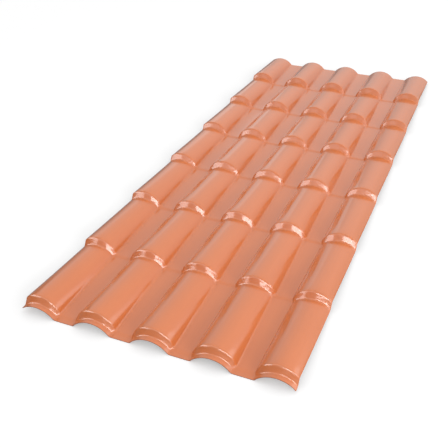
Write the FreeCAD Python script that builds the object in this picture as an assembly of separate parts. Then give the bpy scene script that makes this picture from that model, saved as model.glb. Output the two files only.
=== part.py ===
import FreeCAD, Part
import math
import os

# Corrugated roofing sheet pressed from one flat PVC sheet to look like rows of clay tiles.
# X runs across the waves, Y runs from the eaves end to the ridge end, Z points up.
# The origin is the middle of the footprint, at the level that the sheet rests on.
# All sizes are in millimetres. Widths and rises are those of the upper face.

# Layout of the pressing
wave_count = 5
wave_pitch = 187.0
row_count = 7
row_pitch = 326.6
lip_length = 13.8
wall = 2.2

# How far inside the middle line of an outer wave's foot the sheet is cut off
left_inset = 15.75
right_inset = 8.5

# A wave just behind a riser, where a tile row is widest and highest
near_left_half = 66.0
near_right_half = 66.5
near_rise = 52.0
near_valley_lift = 2.4

# A wave at the other end of a row, at the foot of the next riser
far_left_half = 62.5
far_right_half = 60.5
far_rise = 30.0

# Fillets where a wave meets the valley floor
left_foot_radius = 5.0
right_foot_radius = 12.0

# The riser between two rows, and the rounding along its top and its foot
riser_run = 13.0
rounding_on_tile = 4.0
rounding_on_riser = 0.18

# Sizes worked out from those above
left_cut = (near_left_half + far_left_half) / 2 - left_inset
right_cut = (near_right_half + far_right_half) / 2 - right_inset
sheet_width = left_cut + (wave_count - 1) * wave_pitch + right_cut
sheet_length = lip_length + row_count * row_pitch
left_edge = -sheet_width / 2
right_edge = sheet_width / 2
eaves_end = -sheet_length / 2
ridge_end = sheet_length / 2
tile_length = row_pitch - riser_run
riser_angle = math.atan2(near_rise + near_valley_lift - far_rise, riser_run)
underside_shift = wall * math.tan(riser_angle / 2)


def mix(near, far, fraction):
    """A size part of the way along a tile row: 0 is its near end and 1 is its far end."""
    return near + (far - near) * fraction


def wave_sizes(fraction):
    """The sizes of every wave at one place along a tile row."""
    return {
        "left_half": mix(near_left_half, far_left_half, fraction),
        "right_half": mix(near_right_half, far_right_half, fraction),
        "rise": mix(near_rise, far_rise, fraction),
        "floor": wall + mix(near_valley_lift, 0.0, fraction),
    }


def arc_piece(centre_x, centre_z, radius, start, end):
    """A circular arc as three weighted points, each (x, z, weight)."""
    middle = (start + end) / 2
    weight = math.cos((end - start) / 2)
    points = []
    for angle, reach, share in ((start, radius, 1.0), (middle, radius / weight, weight), (end, radius, 1.0)):
        points.append((centre_x + reach * math.cos(angle), centre_z + reach * math.sin(angle), share))
    return points


def half_wave(half_width, rise, foot_radius):
    """Crown radius of half a wave, how far out its foot fillet is centred, and where they touch."""
    crown_radius = (half_width**2 + rise**2) / (2 * rise)
    both = crown_radius + foot_radius
    fillet_reach = math.sqrt(both**2 - (both - rise) ** 2)
    touch_angle = math.atan2(both - rise, fillet_reach)
    return crown_radius, fillet_reach, touch_angle


def cross_section(sizes, depth):
    """The line across the whole sheet, depth below its upper face, as a list of arcs and lines."""
    floor = sizes["floor"] - depth
    crown = sizes["floor"] + sizes["rise"]
    left_radius, left_reach, left_touch = half_wave(sizes["left_half"], sizes["rise"], left_foot_radius)
    right_radius, right_reach, right_touch = half_wave(sizes["right_half"], sizes["rise"], right_foot_radius)
    pieces = []
    for wave in range(wave_count):
        crest = left_edge + left_cut + wave * wave_pitch
        left_end = math.pi - left_touch
        right_end = right_touch
        if wave == 0:
            left_end = math.acos((left_edge - crest) / (left_radius - depth))
        if wave == wave_count - 1:
            right_end = math.acos((right_edge - crest) / (right_radius - depth))
        if wave > 0:
            foot = crest - left_reach
            pieces.append([(pieces[-1][-1][0], floor, 1.0), (foot, floor, 1.0)])
            fillet = arc_piece(foot, floor + depth + left_foot_radius, left_foot_radius + depth,
                               -math.pi / 2, -left_touch)
            pieces.append(fillet)
        pieces.append(arc_piece(crest, crown - left_radius, left_radius - depth, left_end, math.pi / 2))
        pieces.append(arc_piece(crest, crown - right_radius, right_radius - depth, math.pi / 2, right_end))
        if wave < wave_count - 1:
            foot = crest + right_reach
            fillet = arc_piece(foot, floor + depth + right_foot_radius, right_foot_radius + depth,
                               math.pi + right_touch, 3 * math.pi / 2)
            pieces.append(fillet)
    return pieces


def place(pieces, y):
    """A cross section set at one distance along the sheet: its points are (vector, weight)."""
    return [[(FreeCAD.Vector(x, y, z), weight) for x, z, weight in piece] for piece in pieces]


def between(first, second, share):
    """The line on a riser part of the way from one placed section to the next."""
    blended = []
    for piece_a, piece_b in zip(first, second):
        blended.append([(a + (b - a) * share, wa + (wb - wa) * share)
                        for (a, wa), (b, wb) in zip(piece_a, piece_b)])
    return blended


def bands(depth):
    """The strips that make one face of the sheet, from eaves to ridge: two or three sections each."""
    shift = underside_shift * depth / wall
    far = cross_section(wave_sizes(1.0), depth)
    near = cross_section(wave_sizes(0.0), depth)
    rounding_share = rounding_on_tile / tile_length
    after_riser = cross_section(wave_sizes(rounding_share), depth)
    before_riser = cross_section(wave_sizes(1.0 - rounding_share), depth)
    strips = []
    last = place(far, eaves_end)
    arriving = far
    for row in range(row_count):
        foot_y = eaves_end + lip_length + row * row_pitch + shift
        top_y = foot_y + riser_run
        foot = place(far, foot_y)
        top = place(near, top_y)
        low = place(arriving, foot_y - rounding_on_tile)
        high = place(after_riser, top_y + rounding_on_tile)
        riser_start = between(foot, top, rounding_on_riser)
        riser_end = between(foot, top, 1.0 - rounding_on_riser)
        strips.append([last, low])
        strips.append([low, foot, riser_start])
        strips.append([riser_start, riser_end])
        strips.append([riser_end, top, high])
        last = high
        arriving = before_riser
    strips.append([last, place(far, ridge_end)])
    return strips


def patch(strip, index):
    """One surface patch: one arc or line of the section, carried along its strip."""
    rows = [section[index] for section in strip]
    if len(rows) == 2 and len(rows[0]) == 2:
        corners = [rows[0][0][0], rows[0][1][0], rows[1][1][0], rows[1][0][0]]
        return Part.Face(Part.makePolygon(corners + corners[:1]))
    surface = Part.BezierSurface()
    surface.increase(len(rows[0]) - 1, len(rows) - 1)
    for v, row in enumerate(rows, start=1):
        for u, (point, weight) in enumerate(row, start=1):
            surface.setPole(u, v, point, weight)
    return surface.toShape()


def curve_edge(weighted_points):
    """An edge through the ends of weighted control points."""
    curve = Part.BezierCurve()
    curve.increase(len(weighted_points) - 1)
    for index, (point, weight) in enumerate(weighted_points, start=1):
        curve.setPole(index, point, weight)
    return curve.toShape()


def end_face(upper, lower):
    """The cut face at one end of the sheet, between its upper and lower lines."""
    edges = [curve_edge(piece) for piece in upper]
    edges += [curve_edge(piece) for piece in lower]
    edges.append(Part.LineSegment(upper[0][0][0], lower[0][0][0]).toShape())
    edges.append(Part.LineSegment(upper[-1][-1][0], lower[-1][-1][0]).toShape())
    return Part.Face(Part.Wire(Part.__sortEdges__(edges)))


def side_face(upper_bands, lower_bands, piece, point):
    """The cut face along one side of the sheet."""
    edges = []
    for strips in (upper_bands, lower_bands):
        for strip in strips:
            edges.append(curve_edge([section[piece][point] for section in strip]))
    for strip_end, section_end in ((0, 0), (-1, -1)):
        top_point = upper_bands[strip_end][section_end][piece][point][0]
        bottom_point = lower_bands[strip_end][section_end][piece][point][0]
        edges.append(Part.LineSegment(top_point, bottom_point).toShape())
    return Part.Face(Part.Wire(Part.__sortEdges__(edges)))


def roofing_sheet():
    """The whole sheet as one closed solid."""
    upper = bands(0.0)
    lower = bands(wall)
    faces = []
    for strips in (upper, lower):
        for strip in strips:
            for index in range(len(strip[0])):
                faces.append(patch(strip, index))
    faces.append(end_face(upper[0][0], lower[0][0]))
    faces.append(end_face(upper[-1][-1], lower[-1][-1]))
    faces.append(side_face(upper, lower, 0, 0))
    faces.append(side_face(upper, lower, -1, -1))
    shell = Part.makeShell(faces)
    shell.sewShape()
    solid = Part.makeSolid(shell)
    if solid.Volume < 0:
        solid.reverse()
    return solid


os.makedirs("parts", exist_ok=True)
sheet = roofing_sheet()
sheet.exportStep("parts/roofing_sheet.step")
box = sheet.BoundBox
print("roofing_sheet valid", sheet.isValid(), "closed", sheet.isClosed(), "faces", len(sheet.Faces))
print("size mm", round(box.XLength, 2), round(box.YLength, 2), round(box.ZLength, 2))
print("volume mm3", round(sheet.Volume))
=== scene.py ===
import math

import bmesh
import bpy
from mathutils import Matrix, Vector


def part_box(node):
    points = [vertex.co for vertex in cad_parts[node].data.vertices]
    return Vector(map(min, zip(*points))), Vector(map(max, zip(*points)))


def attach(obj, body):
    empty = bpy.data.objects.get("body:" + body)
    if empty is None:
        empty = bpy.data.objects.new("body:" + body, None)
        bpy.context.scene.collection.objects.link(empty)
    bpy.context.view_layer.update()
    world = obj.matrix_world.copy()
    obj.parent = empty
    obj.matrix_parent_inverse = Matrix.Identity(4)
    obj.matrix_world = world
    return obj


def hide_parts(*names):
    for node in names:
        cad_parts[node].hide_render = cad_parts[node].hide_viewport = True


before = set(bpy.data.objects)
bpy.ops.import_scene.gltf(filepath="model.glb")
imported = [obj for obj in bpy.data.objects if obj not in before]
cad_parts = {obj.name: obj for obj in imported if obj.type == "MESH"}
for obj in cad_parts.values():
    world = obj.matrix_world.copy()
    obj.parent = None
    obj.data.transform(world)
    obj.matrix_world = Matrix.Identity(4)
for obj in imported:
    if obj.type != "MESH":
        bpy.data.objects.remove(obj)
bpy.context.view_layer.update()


# The roofing sheet
# One strip of terracotta PVC, extruded flat, then drawn hot onto a vacuum mould.
# The mould repeats one tile: a round wave that is widest and highest at its eaves end, where a
# short riser drops to the tile in front, and narrower and lower at its ridge end.

# Sizes are in metres. A tile's near end lies just behind a riser, and its far end at the foot of the
# next one. A half is how far a wave's foot lies from its crest, and left_cut how far the sawn edge does.
wave_count = 5
wave_pitch = 0.187
row_count = 7
row_pitch = 0.3266
lip_length = 0.0138
wall = 0.0022
left_cut = 0.0485
near_left_half = 0.066
near_right_half = 0.0665
near_rise = 0.052
near_valley_lift = 0.0024
far_left_half = 0.0625
far_right_half = 0.0605
far_rise = 0.030
left_foot_radius = 0.005
right_foot_radius = 0.012
riser_run = 0.013
rounding_on_tile = 0.004
rounding_on_riser = 0.18
tile_length = row_pitch - riser_run

sheet_low, sheet_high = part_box("roofing_sheet")
first_crest = sheet_low[0] + left_cut
first_foot = sheet_low[1] + lip_length

# How many faces each stretch of the tile is divided into
fillet_steps = 4
crown_steps = 17
rounding_steps = 5
riser_steps = 8
tile_steps = 9

# How deep the drawn sheet sags off the mould, in its long waves and in the ripples of a riser.
# A ripple is long across the sheet and short down the riser, so their number per metre is given for
# each direction. They lie where the face points forwards, as the Y part of its normal tells.
sag_depth = 0.00015
sags_per_metre = 9.0
ripple_depth = 0.0014
ripples_per_metre = (25.0, 40.0, 190.0)
relief_detail = 1.0
ripples_begin_at_normal_y = -0.3
ripples_full_at_normal_y = -0.8

# How near to each other two points lie that are welded into one, and how exact a saw cut is
weld_distance = 0.00002
saw_tolerance = 0.000001


def half_wave(half_width, rise, foot_radius):
    """Crown radius of half a wave, how far out its foot fillet is centred, and where they touch."""
    crown_radius = (half_width**2 + rise**2) / (2 * rise)
    both = crown_radius + foot_radius
    fillet_reach = math.sqrt(both**2 - (both - rise) ** 2)
    return crown_radius, fillet_reach, math.atan2(both - rise, fillet_reach)


def flank(half_width, rise, foot_radius):
    """Half a wave from the middle of its crown to its foot, as (distance out, height) pairs."""
    crown_radius, fillet_reach, touch = half_wave(half_width, rise, foot_radius)
    line = []
    for step in range(crown_steps):
        angle = math.pi / 2 + (touch - math.pi / 2) * step / crown_steps
        line.append((crown_radius * math.cos(angle), rise - crown_radius + crown_radius * math.sin(angle)))
    for step in range(fillet_steps + 1):
        angle = touch + (math.pi / 2 - touch) * step / fillet_steps
        out = fillet_reach - foot_radius * math.cos(angle)
        line.append((out, foot_radius - foot_radius * math.sin(angle)))
    return line


def wave_line(share, y):
    """The line across one wave at the height of its upper face, valley to valley.

    share is 0 just behind a riser and 1 at the foot of the next one.
    """
    def mix(near, far):
        return near + (far - near) * share
    valley = wall + mix(near_valley_lift, 0)
    rise = mix(near_rise, far_rise)
    left = flank(mix(near_left_half, far_left_half), rise, left_foot_radius)
    right = flank(mix(near_right_half, far_right_half), rise, right_foot_radius)
    for side in (left, right):
        side.append((wave_pitch / 2, 0.0))
    points = [(-out, up) for out, up in reversed(left)] + right[1:]
    return [Vector((x, y, valley + z)) for x, z in points]


def blend_lines(a, b, share):
    """The line that lies part of the way from a to b."""
    return [p.lerp(q, share) for p, q in zip(a, b)]


def bend(a, b, c):
    """The lines of a rounding that leaves a towards b and arrives at c, without its first line."""
    lines = []
    for step in range(1, rounding_steps + 1):
        t = step / rounding_steps
        lines.append(blend_lines(blend_lines(a, b, t), blend_lines(b, c, t), t))
    return lines


def strip_object(name, lines):
    """A strip of quads through lines that all have the same number of points."""
    mesh = bpy.data.meshes.new(name)
    across = len(lines[0])
    faces = []
    for row in range(len(lines) - 1):
        for n in range(row * across, row * across + across - 1):
            faces.append((n, n + 1, n + across + 1, n + across))
    mesh.from_pydata([point for line in lines for point in line], [], faces)
    obj = bpy.data.objects.new(name, mesh)
    bpy.context.scene.collection.objects.link(obj)
    return obj


rounding_share = rounding_on_tile / tile_length
low_line = wave_line(1 - rounding_share, -rounding_on_tile)
foot_line = wave_line(1, 0)
top_line = wave_line(0, riser_run)
high_line = wave_line(rounding_share, riser_run + rounding_on_tile)
riser_start = blend_lines(foot_line, top_line, rounding_on_riser)
riser_end = blend_lines(foot_line, top_line, 1 - rounding_on_riser)
tile_lines = [low_line] + bend(low_line, foot_line, riser_start)
for riser_step in range(1, riser_steps + 1):
    tile_lines.append(blend_lines(riser_start, riser_end, riser_step / riser_steps))
tile_lines += bend(riser_end, top_line, high_line)
for tile_step in range(1, tile_steps + 1):
    tile_y = riser_run + tile_length * (rounding_share + (1 - 2 * rounding_share) * tile_step / tile_steps)
    tile_lines.append(wave_line((tile_y - riser_run) / tile_length, tile_y))
tile = strip_object("tile", tile_lines)
lip = strip_object("lip", [wave_line(1, -lip_length), low_line])
ridge_end = strip_object("ridge_end", [tile_lines[-1], wave_line(1, row_pitch)])


def node(tree, kind, values=None, **settings):
    """A node with some of its settings and inputs given. An input that is a socket is linked."""
    made = tree.nodes.new(kind)
    for name, value in settings.items():
        setattr(made, name, value)
    for name, value in (values or {}).items():
        if isinstance(value, bpy.types.NodeSocket):
            tree.links.new(value, made.inputs[name])
        else:
            made.inputs[name].default_value = value
    return made


# The mould's own pattern: tiles in a row up the sheet, and that row repeated wave by wave across it.
# The hot sheet isn't drawn quite tight. It sags off the mould in long waves, and along each riser
# it keeps fine ripples, where it was stretched most.
pattern = bpy.data.node_groups.new("mould_pattern", "GeometryNodeTree")
pattern.interface.new_socket("Geometry", in_out="INPUT", socket_type="NodeSocketGeometry")
for input_name, socket_type in (("Lip", "NodeSocketObject"), ("Ridge End", "NodeSocketObject"),
                                ("Rows", "NodeSocketInt"), ("Row Pitch", "NodeSocketFloat"),
                                ("Waves", "NodeSocketInt"), ("Wave Pitch", "NodeSocketFloat"),
                                ("First Crest", "NodeSocketFloat"), ("First Foot", "NodeSocketFloat"),
                                ("Sag Depth", "NodeSocketFloat"), ("Sags Per Metre", "NodeSocketFloat"),
                                ("Ripple Depth", "NodeSocketFloat"),
                                ("Ripples Per Metre", "NodeSocketVector"),
                                ("Weld Distance", "NodeSocketFloat"),
                                ("Lowest", "NodeSocketFloat"), ("Material", "NodeSocketMaterial")):
    pattern.interface.new_socket(input_name, in_out="INPUT", socket_type=socket_type)
pattern.interface.new_socket("Geometry", in_out="OUTPUT", socket_type="NodeSocketGeometry")
given = node(pattern, "NodeGroupInput").outputs
row_step = node(pattern, "ShaderNodeCombineXYZ", {"Y": given["Row Pitch"]})
row_places = node(pattern, "GeometryNodeMeshLine", {"Count": given["Rows"], "Offset": row_step.outputs[0]})
rows = node(pattern, "GeometryNodeInstanceOnPoints",
            {"Points": row_places.outputs[0], "Instance": given["Geometry"]})
lip_piece = node(pattern, "GeometryNodeObjectInfo", {"Object": given["Lip"]})
end_piece = node(pattern, "GeometryNodeObjectInfo", {"Object": given["Ridge End"]})
rows_before_last = node(pattern, "ShaderNodeMath", {0: given["Rows"], 1: 1.0}, operation="SUBTRACT")
last_row = node(pattern, "ShaderNodeVectorMath",
                {0: row_step.outputs[0], "Scale": rows_before_last.outputs[0]}, operation="SCALE")
end_moved = node(pattern, "GeometryNodeTransform",
                 {"Geometry": end_piece.outputs["Geometry"], "Translation": last_row.outputs[0]})
wave = node(pattern, "GeometryNodeJoinGeometry")
for part_of_wave in (rows.outputs[0], lip_piece.outputs["Geometry"], end_moved.outputs[0]):
    pattern.links.new(part_of_wave, wave.inputs[0])
wave_start = node(pattern, "ShaderNodeCombineXYZ", {"X": given["First Crest"], "Y": given["First Foot"]})
wave_step = node(pattern, "ShaderNodeCombineXYZ", {"X": given["Wave Pitch"]})
wave_places = node(pattern, "GeometryNodeMeshLine",
                   {"Count": given["Waves"], "Start Location": wave_start.outputs[0],
                    "Offset": wave_step.outputs[0]})
waves = node(pattern, "GeometryNodeInstanceOnPoints",
             {"Points": wave_places.outputs[0], "Instance": wave.outputs[0]})
real = node(pattern, "GeometryNodeRealizeInstances", {"Geometry": waves.outputs[0]})
welded = node(pattern, "GeometryNodeMergeByDistance",
              {"Geometry": real.outputs[0], "Distance": given["Weld Distance"]})

place = node(pattern, "GeometryNodeInputPosition")
facing = node(pattern, "GeometryNodeInputNormal")
facing_parts = node(pattern, "ShaderNodeSeparateXYZ", {0: facing.outputs[0]})
frontward = node(pattern, "ShaderNodeMapRange",
                 {"Value": facing_parts.outputs["Y"], "From Min": ripples_begin_at_normal_y,
                  "From Max": ripples_full_at_normal_y, "To Min": 0.0, "To Max": 1.0})
sag = node(pattern, "ShaderNodeTexNoise",
           {"Vector": place.outputs[0], "Scale": given["Sags Per Metre"], "Detail": relief_detail})
ripple_place = node(pattern, "ShaderNodeVectorMath", {0: place.outputs[0], 1: given["Ripples Per Metre"]},
                    operation="MULTIPLY")
ripple = node(pattern, "ShaderNodeTexNoise",
              {"Vector": ripple_place.outputs[0], "Scale": 1.0, "Detail": relief_detail})
ripple_there = node(pattern, "ShaderNodeMath", {0: ripple.outputs[0], 1: frontward.outputs[0]},
                    operation="MULTIPLY")
ripple_inward = node(pattern, "ShaderNodeMath", {0: ripple_there.outputs[0], 1: given["Ripple Depth"]},
                     operation="MULTIPLY")
inward = node(pattern, "ShaderNodeMath", {0: sag.outputs[0], 1: given["Sag Depth"],
                                          2: ripple_inward.outputs[0]}, operation="MULTIPLY_ADD")
outward = node(pattern, "ShaderNodeMath", {0: inward.outputs[0], 1: -1.0}, operation="MULTIPLY")
shift = node(pattern, "ShaderNodeVectorMath", {0: facing.outputs[0], "Scale": outward.outputs[0]},
             operation="SCALE")
moved = node(pattern, "ShaderNodeVectorMath", {0: place.outputs[0], 1: shift.outputs[0]}, operation="ADD")
moved_parts = node(pattern, "ShaderNodeSeparateXYZ", {0: moved.outputs[0]})
place_parts = node(pattern, "ShaderNodeSeparateXYZ", {0: place.outputs[0]})
height = node(pattern, "ShaderNodeMath", {0: moved_parts.outputs["Z"], 1: given["Lowest"]},
              operation="MAXIMUM")
drawn_place = node(pattern, "ShaderNodeCombineXYZ", {"X": moved_parts.outputs["X"],
                                                     "Y": place_parts.outputs["Y"],
                                                     "Z": height.outputs[0]})
drawn = node(pattern, "GeometryNodeSetPosition",
             {"Geometry": welded.outputs[0], "Position": drawn_place.outputs[0]})
coloured = node(pattern, "GeometryNodeSetMaterial",
                {"Geometry": drawn.outputs[0], "Material": given["Material"]})
node(pattern, "NodeGroupOutput", {"Geometry": coloured.outputs[0]})

# Satin plastic: a tone that drifts a little over the sheet, faint lines along the way that it was
# extruded, and the fine orange peel of a face that cooled in air. Each scale is in marks per metre.
clouds_per_metre = 5.0
cloud_detail = 3.0
lines_per_metre = (160.0, 1.5, 60.0)
line_detail = 2.0
peel_per_metre = 420.0
peel_detail = 1.0
noise_middle = 0.5
gloss_drift_by_cloud = 0.12
satin = bpy.data.node_groups.new("satin_plastic", "ShaderNodeTree")
for input_name, socket_type in (("Tone", "NodeSocketColor"), ("Drift", "NodeSocketFloat"),
                                ("Lines", "NodeSocketFloat"), ("Roughness", "NodeSocketFloat"),
                                ("Peel", "NodeSocketFloat")):
    satin.interface.new_socket(input_name, in_out="INPUT", socket_type=socket_type)
for output_name, socket_type in (("Color", "NodeSocketColor"), ("Roughness", "NodeSocketFloat"),
                                 ("Height", "NodeSocketFloat")):
    satin.interface.new_socket(output_name, in_out="OUTPUT", socket_type=socket_type)
asked = node(satin, "NodeGroupInput").outputs
spot = node(satin, "ShaderNodeTexCoord").outputs["Object"]
clouds = node(satin, "ShaderNodeTexNoise",
              {"Vector": spot, "Scale": clouds_per_metre, "Detail": cloud_detail})
along = node(satin, "ShaderNodeMapping", {"Vector": spot, "Scale": lines_per_metre})
draw_lines = node(satin, "ShaderNodeTexNoise",
                  {"Vector": along.outputs[0], "Scale": 1.0, "Detail": line_detail})
peel = node(satin, "ShaderNodeTexNoise", {"Vector": spot, "Scale": peel_per_metre, "Detail": peel_detail})
clouds_even = node(satin, "ShaderNodeMath", {0: clouds.outputs[0], 1: noise_middle}, operation="SUBTRACT")
lines_even = node(satin, "ShaderNodeMath", {0: draw_lines.outputs[0], 1: noise_middle},
                  operation="SUBTRACT")
clouds_part = node(satin, "ShaderNodeMath", {0: clouds_even.outputs[0], 1: asked["Drift"], 2: 1.0},
                   operation="MULTIPLY_ADD")
brightness = node(satin, "ShaderNodeMath",
                  {0: lines_even.outputs[0], 1: asked["Lines"], 2: clouds_part.outputs[0]},
                  operation="MULTIPLY_ADD")
tone = node(satin, "ShaderNodeVectorMath", {0: asked["Tone"], "Scale": brightness.outputs[0]},
            operation="SCALE")
gloss_drift = node(satin, "ShaderNodeMath",
                   {0: clouds_even.outputs[0], 1: gloss_drift_by_cloud, 2: asked["Roughness"]},
                   operation="MULTIPLY_ADD")
peel_height = node(satin, "ShaderNodeMath", {0: peel.outputs[0], 1: asked["Peel"]}, operation="MULTIPLY")
node(satin, "NodeGroupOutput", {"Color": tone.outputs[0], "Roughness": gloss_drift.outputs[0],
                                "Height": peel_height.outputs[0]})

pvc_ior = 1.52
cap_ior = 1.5
cap_roughness = 0.10
full_relief_height = 0.001


def plastic(name, tone, drift, lines, roughness, peel, cap):
    """A plastic finish: its own tone and gloss, with the unevenness of the satin group.

    drift and lines say how far the tone wanders, peel how deep the relief is, and cap how much of a
    clear cap layer lies over it.
    """
    made = bpy.data.materials.new(name)
    made.use_nodes = True
    tree = made.node_tree
    shader = tree.nodes["Principled BSDF"]
    shader.inputs["IOR"].default_value = pvc_ior
    shader.inputs["Coat Weight"].default_value = cap
    shader.inputs["Coat Roughness"].default_value = cap_roughness
    shader.inputs["Coat IOR"].default_value = cap_ior
    surface = node(tree, "ShaderNodeGroup", node_tree=satin)
    for input_name, value in (("Tone", (*tone, 1)), ("Drift", drift), ("Lines", lines),
                              ("Roughness", roughness), ("Peel", peel)):
        surface.inputs[input_name].default_value = value
    relief = node(tree, "ShaderNodeBump",
                  {"Height": surface.outputs["Height"], "Distance": full_relief_height, "Strength": 1.0})
    tree.links.new(surface.outputs["Color"], shader.inputs["Base Color"])
    tree.links.new(surface.outputs["Roughness"], shader.inputs["Roughness"])
    tree.links.new(relief.outputs["Normal"], shader.inputs["Normal"])
    return made


# The weather face has a clear glossy cap against the sun, the mould side is dull, and the sawn edges
# are rough. Their tone is darker than the face's, and that darkness is painted shade.
pvc = plastic("terracotta_pvc", tone=(0.615, 0.172, 0.053), drift=0.08, lines=0.05,
              roughness=0.20, peel=0.02, cap=0.6)
mould_side = plastic("mould_side", tone=(0.56, 0.18, 0.08), drift=0.08, lines=0.04,
                     roughness=0.45, peel=0.04, cap=0.0)
# The darker tone of the sawn edges is painted shade.
sawn = plastic("sawn_edge_painted_shade", tone=(0.40, 0.13, 0.06), drift=0.15, lines=0.30,
               roughness=0.65, peel=0.20, cap=0.0)

moulding = tile.modifiers.new("mould pattern", "NODES")
moulding.node_group = pattern
sockets = {item.name: item.identifier for item in pattern.interface.items_tree if item.in_out == "INPUT"}
for input_name, value in (("Lip", lip), ("Ridge End", ridge_end), ("Rows", row_count),
                          ("Row Pitch", row_pitch), ("Waves", wave_count), ("Wave Pitch", wave_pitch),
                          ("First Crest", first_crest), ("First Foot", first_foot),
                          ("Sag Depth", sag_depth), ("Sags Per Metre", sags_per_metre),
                          ("Ripple Depth", ripple_depth), ("Ripples Per Metre", ripples_per_metre),
                          ("Weld Distance", weld_distance), ("Lowest", wall), ("Material", pvc)):
    moulding[sockets[input_name]] = value
face = bpy.data.meshes.new_from_object(tile.evaluated_get(bpy.context.evaluated_depsgraph_get()))
for template in (tile, lip, ridge_end):
    bpy.data.objects.remove(template)

# The outer waves are sawn off lengthways, inside their feet
trimmed = bmesh.new()
trimmed.from_mesh(face)
for edge_x, outward_x in ((sheet_low[0], -1), (sheet_high[0], 1)):
    bmesh.ops.bisect_plane(trimmed, geom=trimmed.verts[:] + trimmed.edges[:] + trimmed.faces[:],
                           dist=saw_tolerance, plane_co=(edge_x, 0, 0), plane_no=(outward_x, 0, 0),
                           clear_outer=True)
bmesh.ops.remove_doubles(trimmed, verts=trimmed.verts[:], dist=weld_distance)
trimmed.to_mesh(face)
trimmed.free()

# The wall lies below the weather face. The mould side has the second material, and the cut edges
# have the third.
inwards = -1
mould_side_slot = 1
sawn_slot = 2
sharp_edge_angle = math.radians(50)
sheet = bpy.data.objects.new("pressed_sheet", face)
bpy.context.scene.collection.objects.link(sheet)
face.materials.append(mould_side)
face.materials.append(sawn)
thickness = sheet.modifiers.new("wall", "SOLIDIFY")
thickness.thickness = wall
thickness.offset = inwards
thickness.use_even_offset = True
thickness.material_offset = mould_side_slot
thickness.material_offset_rim = sawn_slot
solid = bpy.data.meshes.new_from_object(sheet.evaluated_get(bpy.context.evaluated_depsgraph_get()))
sheet.modifiers.clear()
sheet.data = solid
solid.shade_smooth()
solid.set_sharp_from_angle(angle=sharp_edge_angle)
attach(sheet, "root")
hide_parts("roofing_sheet")


# The studio
# A plain pale floor under a soft white sky that is dim low down in front, behind and at the left.
# A broad panel at the right lights the waves from that side. The strips at the right draw the short
# bright streaks on the risers, and the left one the pale patches on their other shoulders.
floor_mesh = bpy.data.meshes.new("floor")
floor_half = 30.0
floor_mesh.from_pydata([(-floor_half, -floor_half, 0), (floor_half, -floor_half, 0),
                        (floor_half, floor_half, 0), (-floor_half, floor_half, 0)], [], [(0, 1, 2, 3)])
floor = bpy.data.objects.new("floor", floor_mesh)
bpy.context.scene.collection.objects.link(floor)

# The floor is shown almost white, with a faint shadow, and throws little light back on the first risers
white = (1, 1, 1, 1)
floor_tone_thrown = 0.2
floor_tone_shown = 0.6
floor_glow_shown = 0.36
floor_roughness = 0.9
floor_paint = bpy.data.materials.new("floor_paint")
floor_paint.use_nodes = True
paint = floor_paint.node_tree
floor_shader = paint.nodes["Principled BSDF"]
seen_directly = node(paint, "ShaderNodeLightPath").outputs["Is Camera Ray"]
floor_tone = node(paint, "ShaderNodeMix", {"Factor": seen_directly, "A": floor_tone_thrown,
                                           "B": floor_tone_shown})
floor_glow = node(paint, "ShaderNodeMath", {0: seen_directly, 1: floor_glow_shown}, operation="MULTIPLY")
paint.links.new(floor_tone.outputs[0], floor_shader.inputs["Base Color"])
paint.links.new(floor_glow.outputs[0], floor_shader.inputs["Emission Strength"])
floor_shader.inputs["Emission Color"].default_value = white
floor_shader.inputs["Roughness"].default_value = floor_roughness
floor_mesh.materials.append(floor_paint)

# The sky's brightness, the share of it that is left low down, and where that dimmer part begins and
# ends, by the parts of the direction: Z up, Y towards an end of the sheet, X to the right
sky_at_left = 0.96
sky_at_right = 1.07
low_share_in_front = 0.4
low_share_behind = 0.66
low_share_at_left = 0.1
dimmest_below_z = 0.12
full_above_z = 0.45
end_begins_at_y = 0.5
end_full_at_y = 0.95
left_begins_at_x = -0.25
left_full_at_x = -0.8
backdrop = 1.0
world = bpy.data.worlds.new("studio")
world.use_nodes = True
sky = world.node_tree
sky.nodes["Background"].inputs["Color"].default_value = white
direction = node(sky, "ShaderNodeTexCoord").outputs["Generated"]
direction_parts = node(sky, "ShaderNodeSeparateXYZ", {0: direction})
from_left_to_right = node(sky, "ShaderNodeMapRange",
                          {"Value": direction_parts.outputs["X"], "From Min": -1.0, "From Max": 1.0,
                           "To Min": sky_at_left, "To Max": sky_at_right})
low_share = node(sky, "ShaderNodeMapRange",
                 {"Value": direction_parts.outputs["Y"], "From Min": -1.0, "From Max": 1.0,
                  "To Min": low_share_in_front, "To Max": low_share_behind})
high_up = node(sky, "ShaderNodeMapRange",
               {"Value": direction_parts.outputs["Z"], "From Min": dimmest_below_z,
                "From Max": full_above_z},
               interpolation_type="SMOOTHSTEP")
share_at_ends = node(sky, "ShaderNodeMix", {"Factor": high_up.outputs[0], "A": low_share.outputs[0],
                                            "B": 1.0})
endward = node(sky, "ShaderNodeMath", {0: direction_parts.outputs["Y"]}, operation="ABSOLUTE")
at_an_end = node(sky, "ShaderNodeMapRange",
                 {"Value": endward.outputs[0], "From Min": end_begins_at_y, "From Max": end_full_at_y},
                 interpolation_type="SMOOTHSTEP")
lit_share = node(sky, "ShaderNodeMix", {"Factor": at_an_end.outputs[0], "A": 1.0,
                                        "B": share_at_ends.outputs[0]})
share_at_left = node(sky, "ShaderNodeMix", {"Factor": high_up.outputs[0], "A": low_share_at_left,
                                            "B": 1.0})
at_the_left = node(sky, "ShaderNodeMapRange",
                   {"Value": direction_parts.outputs["X"], "From Min": left_begins_at_x,
                    "From Max": left_full_at_x},
                   interpolation_type="SMOOTHSTEP")
left_share = node(sky, "ShaderNodeMix", {"Factor": at_the_left.outputs[0], "A": 1.0,
                                         "B": share_at_left.outputs[0]})
dimmed = node(sky, "ShaderNodeMath", {0: lit_share.outputs[0], 1: left_share.outputs[0]},
              operation="MULTIPLY")
glow = node(sky, "ShaderNodeMath", {0: from_left_to_right.outputs[0], 1: dimmed.outputs[0]},
            operation="MULTIPLY")
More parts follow.
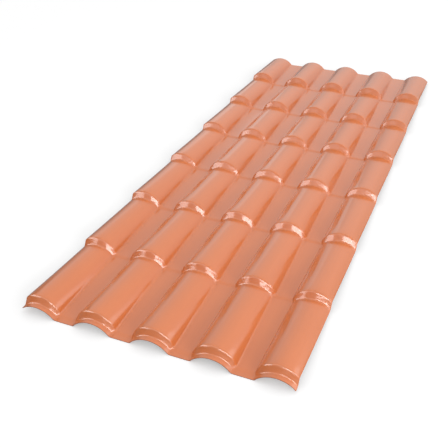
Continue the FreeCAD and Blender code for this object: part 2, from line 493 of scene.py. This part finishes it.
straight_at_the_sky = node(sky, "ShaderNodeLightPath").outputs["Is Camera Ray"]
shown = node(sky, "ShaderNodeMix", {"Factor": straight_at_the_sky, "A": glow.outputs[0], "B": backdrop})
sky.links.new(shown.outputs[0], sky.nodes["Background"].inputs["Strength"])
bpy.context.scene.world = world

softbox_distance = 6.0


def softbox(name, azimuth, elevation, width, height, brightness, gloss_only):
    """An even white panel that faces the sheet. Azimuth 0 is behind the sheet and 90 is at its right."""
    turn = math.radians(azimuth)
    lift = math.radians(elevation)
    lamp = bpy.data.lights.new(name, "AREA")
    lamp.shape = "RECTANGLE"
    lamp.size = width
    lamp.size_y = height
    lamp.energy = brightness * math.pi * width * height
    holder = bpy.data.objects.new(name, lamp)
    towards = Vector((math.cos(lift) * math.sin(turn), math.cos(lift) * math.cos(turn), math.sin(lift)))
    holder.location = towards * softbox_distance
    holder.rotation_euler = (-towards).to_track_quat("-Z", "Y").to_euler()
    holder.visible_camera = False
    holder.visible_diffuse = not gloss_only
    bpy.context.scene.collection.objects.link(holder)


softbox("right_panel", azimuth=80, elevation=22, width=7.0, height=2.6, brightness=1.15,
        gloss_only=False)
softbox("right_strip", azimuth=135, elevation=20, width=3.1, height=0.95, brightness=9.0,
        gloss_only=False)
softbox("front_strip", azimuth=164, elevation=20, width=3.1, height=0.95, brightness=9.5,
        gloss_only=True)
softbox("left_strip", azimuth=-126, elevation=19.5, width=5.6, height=1.8, brightness=4.2,
        gloss_only=True)
softbox("front_panel", azimuth=-165, elevation=32, width=3.0, height=1.8, brightness=1.0,
        gloss_only=True)
softbox("back_panel", azimuth=-40, elevation=12, width=3.8, height=2.2, brightness=0.42,
        gloss_only=True)

# The camera
# It stands 1.2 m in front of the eaves end, to the right of the middle, and looks down on the front
# half of the sheet from 1.3 m up.
camera_place = Vector((0.7199, -2.3338, 1.3184))
camera_aim = Vector((-0.0509, -0.4836, 0.0))
camera_roll = math.radians(-0.335)
film_width_mm = 36.0
focal_length_mm = 53.84
camera_data = bpy.data.cameras.new("camera")
camera_data.sensor_width = film_width_mm
camera_data.lens = focal_length_mm
camera = bpy.data.objects.new("camera", camera_data)
camera.location = camera_place
camera.rotation_euler = ((camera_aim - camera_place).to_track_quat("-Z", "Y").to_matrix()
                         @ Matrix.Rotation(camera_roll, 3, "Z")).to_euler()
bpy.context.scene.collection.objects.link(camera)
bpy.context.scene.camera = camera
bpy.context.scene.view_settings.view_transform = "Standard"
